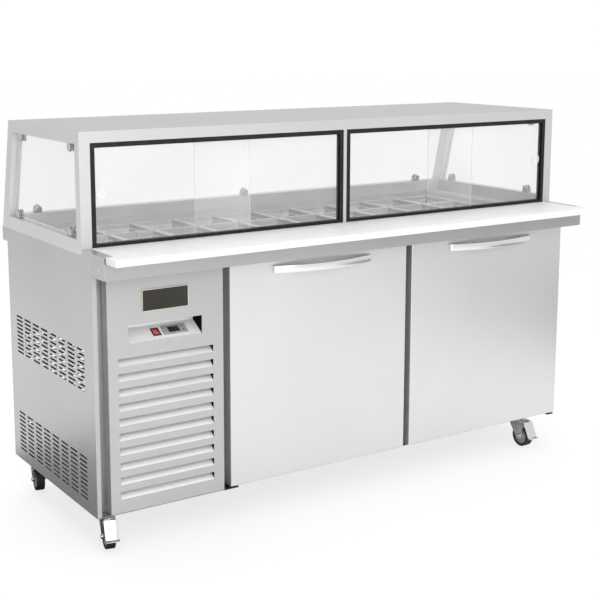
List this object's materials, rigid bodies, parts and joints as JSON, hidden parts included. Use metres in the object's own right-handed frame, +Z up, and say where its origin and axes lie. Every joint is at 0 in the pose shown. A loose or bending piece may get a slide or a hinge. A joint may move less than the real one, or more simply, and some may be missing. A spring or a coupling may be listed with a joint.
{
  "type": "refrigerated sandwich prep table",
  "caption": "Stainless prep table: refrigerated cabinet with doors, louvred machine bay, food pans under a sliding-glass guard, and a cutting board across the front, on casters.",
  "frame": {"origin": "centre of the footprint, on the floor under the wheels", "axes": "+X to the right along the front, -Y out of the front where the doors open, +Z up"},
  "size_m": [1.8, 0.84, 1.2],
  "materials": {
    "stainless_body": "brushed",
    "stainless_door": "brushed",
    "stainless_grille": "brushed",
    "stainless_top": "satin",
    "stainless_pan": "bright drawn",
    "stainless_guard": "brushed",
    "stainless_handle": "polished",
    "galvanised": "spangled zinc",
    "zinc_plate": "bright zinc",
    "hardware_black": "satin black",
    "track_black": "black anodised",
    "insulation": "foam",
    "liner": "satin",
    "breaker": "satin",
    "gasket": "matte",
    "glass": "clear",
    "pull": "frosted clear",
    "clamp": "satin",
    "board": "fine satin grain",
    "nameplate": "printed, pale rim",
    "switch_black": "satin",
    "switch_red": "translucent gloss",
    "controller": "gloss with dark window",
    "key_grey": "matte",
    "tread": "matte",
    "wheel_hub": "moulded",
    "door_lining": "vacuum formed",
    "compressor_black": "gloss",
    "coil": "finned",
    "fan_blade": "moulded",
    "shelf_wire": "coated wire"
  },
  "bodies": {
    "body": {"side_panel_left": "stainless_body", "side_panel_right": "stainless_body", "back_panel": "galvanised", "base_tray": "galvanised", "bay_panels": "galvanised", "insulation_foam": "insulation", "inner_liner": "liner", "breaker_frame": "breaker", "front_grille": "stainless_grille", "control_panel": "stainless_body", "switch_bezel": "switch_black", "controller_body": "controller", "nameplate": "nameplate", "worktop": "stainless_top", "board_shelf": "stainless_top", "pan_well": "stainless_top", "pan_divider_bars": "stainless_top", "guard_frame": "stainless_guard", "guard_roof": "stainless_guard", "guard_glass": "glass", "glass_clamps": "clamp", "glass_tracks": "track_black", "caster_plates": "zinc_plate", "hinge_brackets": "hardware_black", "compressor": "compressor_black", "condenser": "coil", "evaporator": "coil", "wire_shelves": "shelf_wire", "panel_screws": "zinc_plate"},
    "door_left": {"door_left_skin": "stainless_door", "door_left_core": "insulation", "door_left_gasket": "gasket", "door_left_handle": "stainless_handle"},
    "door_right": {"door_right_skin": "stainless_door", "door_right_core": "insulation", "door_right_gasket": "gasket", "door_right_handle": "stainless_handle"},
    "glass_pane_1": {"glass_pane_1": "glass"},
    "glass_pane_2": {"glass_pane_2": "glass"},
    "glass_pane_3": {"glass_pane_3": "glass"},
    "glass_pane_4": {"glass_pane_4": "glass"},
    "cutting_board": {"cutting_board": "board"},
    "pans_front": {"pans_front_row": "stainless_pan"},
    "pans_middle": {"pans_middle_row": "stainless_pan"},
    "pans_rear": {"pans_rear_row": "stainless_pan"},
    "rocker_switch": {"rocker_switch": "switch_red"},
    "key_up": {"key_up": "key_grey"},
    "key_down": {"key_down": "key_grey"},
    "caster_fl": {"caster_fork_fl": "zinc_plate"},
    "wheel_fl": {"caster_wheel_fl": "tread"},
    "caster_fr": {"caster_fork_fr": "zinc_plate"},
    "wheel_fr": {"caster_wheel_fr": "tread"},
    "caster_rl": {"caster_fork_rl": "zinc_plate"},
    "wheel_rl": {"caster_wheel_rl": "tread"},
    "caster_rr": {"caster_fork_rr": "zinc_plate"},
    "wheel_rr": {"caster_wheel_rr": "tread"},
    "pedal_fl": {"brake_pedal_fl": "zinc_plate"},
    "pedal_fr": {"brake_pedal_fr": "zinc_plate"},
    "condenser_fan": {"condenser_fan": "fan_blade"},
    "evaporator_fan": {"evaporator_fan": "fan_blade"}
  },
  "joints": [
    {"name": "door_left_hinge", "type": "hinge", "parent": "body", "child": "door_left", "pos_m": [-0.449, -0.256, 0.459], "axis": [0, 0, -1], "range_deg": [0, 110]},
    {"name": "door_right_hinge", "type": "hinge", "parent": "body", "child": "door_right", "pos_m": [0.886, -0.256, 0.459], "axis": [0, 0, 1], "range_deg": [0, 110]},
    {"name": "glass_pane_1_slide", "type": "slide", "parent": "body", "child": "glass_pane_1", "axis": [1, 0, 0], "range_m": [0, 0.335]},
    {"name": "glass_pane_2_slide", "type": "slide", "parent": "body", "child": "glass_pane_2", "axis": [1, 0, 0], "range_m": [-0.327, 0]},
    {"name": "glass_pane_3_slide", "type": "slide", "parent": "body", "child": "glass_pane_3", "axis": [1, 0, 0], "range_m": [0, 0.327]},
    {"name": "glass_pane_4_slide", "type": "slide", "parent": "body", "child": "glass_pane_4", "axis": [1, 0, 0], "range_m": [-0.335, 0]},
    {"name": "cutting_board_lift", "type": "slide", "parent": "body", "child": "cutting_board", "axis": [0, 0, 1], "range_m": [0, 0.03]},
    {"name": "pans_front_lift", "type": "slide", "parent": "body", "child": "pans_front", "axis": [0, 0, 1], "range_m": [0, 0.15]},
    {"name": "pans_middle_lift", "type": "slide", "parent": "body", "child": "pans_middle", "axis": [0, 0, 1], "range_m": [0, 0.15]},
    {"name": "pans_rear_lift", "type": "slide", "parent": "body", "child": "pans_rear", "axis": [0, 0, 1], "range_m": [0, 0.15]},
    {"name": "rocker_tip", "type": "hinge", "parent": "body", "child": "rocker_switch", "pos_m": [-0.693, -0.23875, 0.61597], "axis": [1, 0, 0], "range_deg": [0, 16]},
    {"name": "key_up_press", "type": "slide", "parent": "body", "child": "key_up", "axis": [0, 0.5063, -0.8623], "range_m": [0, 0.0008], "stiffness_N_per_m": 300, "springref_m": -0.001},
    {"name": "key_down_press", "type": "slide", "parent": "body", "child": "key_down", "axis": [0, 0.5063, -0.8623], "range_m": [0, 0.0008], "stiffness_N_per_m": 300, "springref_m": -0.001},
    {"name": "caster_fl_swivel", "type": "hinge", "parent": "body", "child": "caster_fl", "pos_m": [-0.849, -0.21, 0.095], "axis": [0, 0, 1], "continuous": true},
    {"name": "wheel_fl_spin", "type": "hinge", "parent": "caster_fl", "child": "wheel_fl", "pos_m": [-0.85565, -0.2413, 0.0375], "axis": [0.9781, -0.2079, 0], "continuous": true},
    {"name": "caster_fr_swivel", "type": "hinge", "parent": "body", "child": "caster_fr", "pos_m": [0.771, -0.21, 0.095], "axis": [0, 0, 1], "continuous": true},
    {"name": "wheel_fr_spin", "type": "hinge", "parent": "caster_fr", "child": "wheel_fr", "pos_m": [0.771, -0.242, 0.0375], "axis": [1, 0, 0], "continuous": true},
    {"name": "caster_rl_swivel", "type": "hinge", "parent": "body", "child": "caster_rl", "pos_m": [-0.849, 0.329, 0.095], "axis": [0, 0, 1], "continuous": true},
    {"name": "wheel_rl_spin", "type": "hinge", "parent": "caster_rl", "child": "wheel_rl", "pos_m": [-0.85456, 0.29749, 0.0375], "axis": [0.9848, -0.1736, 0], "continuous": true},
    {"name": "caster_rr_swivel", "type": "hinge", "parent": "body", "child": "caster_rr", "pos_m": [0.771, 0.329, 0.095], "axis": [0, 0, 1], "continuous": true},
    {"name": "wheel_rr_spin", "type": "hinge", "parent": "caster_rr", "child": "wheel_rr", "pos_m": [0.771, 0.297, 0.0375], "axis": [1, 0, 0], "continuous": true},
    {"name": "brake_pedal_fl_tilt", "type": "hinge", "parent": "caster_fl", "child": "pedal_fl", "pos_m": [-0.85773, -0.25108, 0.084], "axis": [-0.9781, 0.2079, 0], "range_deg": [0, 25]},
    {"name": "brake_pedal_fr_tilt", "type": "hinge", "parent": "caster_fr", "child": "pedal_fr", "pos_m": [0.771, -0.252, 0.084], "axis": [-1, 0, 0], "range_deg": [0, 25]},
    {"name": "condenser_fan_spin", "type": "hinge", "parent": "body", "child": "condenser_fan", "pos_m": [-0.671, -0.09, 0.28], "axis": [0, 1, 0], "continuous": true},
    {"name": "evaporator_fan_spin", "type": "hinge", "parent": "body", "child": "evaporator_fan", "pos_m": [0.214, 0.2835, 0.57], "axis": [0, 1, 0], "continuous": true}
  ]
}
